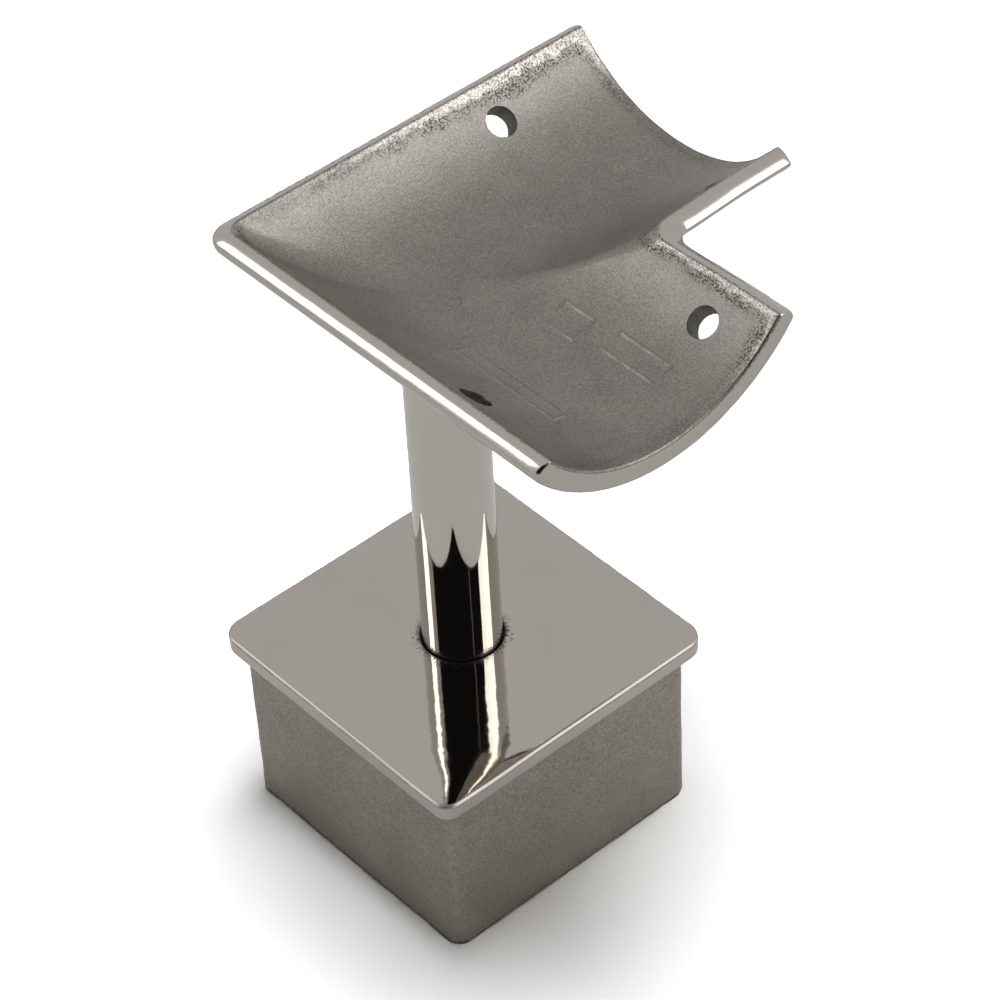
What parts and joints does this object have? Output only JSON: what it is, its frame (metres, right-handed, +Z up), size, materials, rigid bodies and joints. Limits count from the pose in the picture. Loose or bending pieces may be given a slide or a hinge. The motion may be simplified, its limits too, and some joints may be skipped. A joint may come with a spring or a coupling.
{
  "type": "handrail corner saddle",
  "caption": "Mitred double trough on a round stem and square post cap, which carries two round handrails where they meet at a right angle.",
  "frame": {"origin": "centre of the square plug's lower end, on the stem's axis, where the loose fitting stands", "axes": "+Z up along the stem; +X and +Y along the two rails, away from the corner"},
  "size_m": [0.071, 0.071, 0.1093],
  "materials": {
    "polished_casting": "mirror polished, with blasted seats and plug",
    "blasted_casting": "blasted, as cast",
    "polished_bar": "mirror polished",
    "polished_weld": "polished fillet weld",
    "plain_fastener": "plain turned steel"
  },
  "bodies": {
    "root": {"corner_saddle": "polished_casting", "stem": "polished_bar", "stem_weld": "polished_weld", "post_cap": "polished_casting", "stem_bolt": "plain_fastener", "lock_washer": "plain_fastener"}
  },
  "joints": []
}
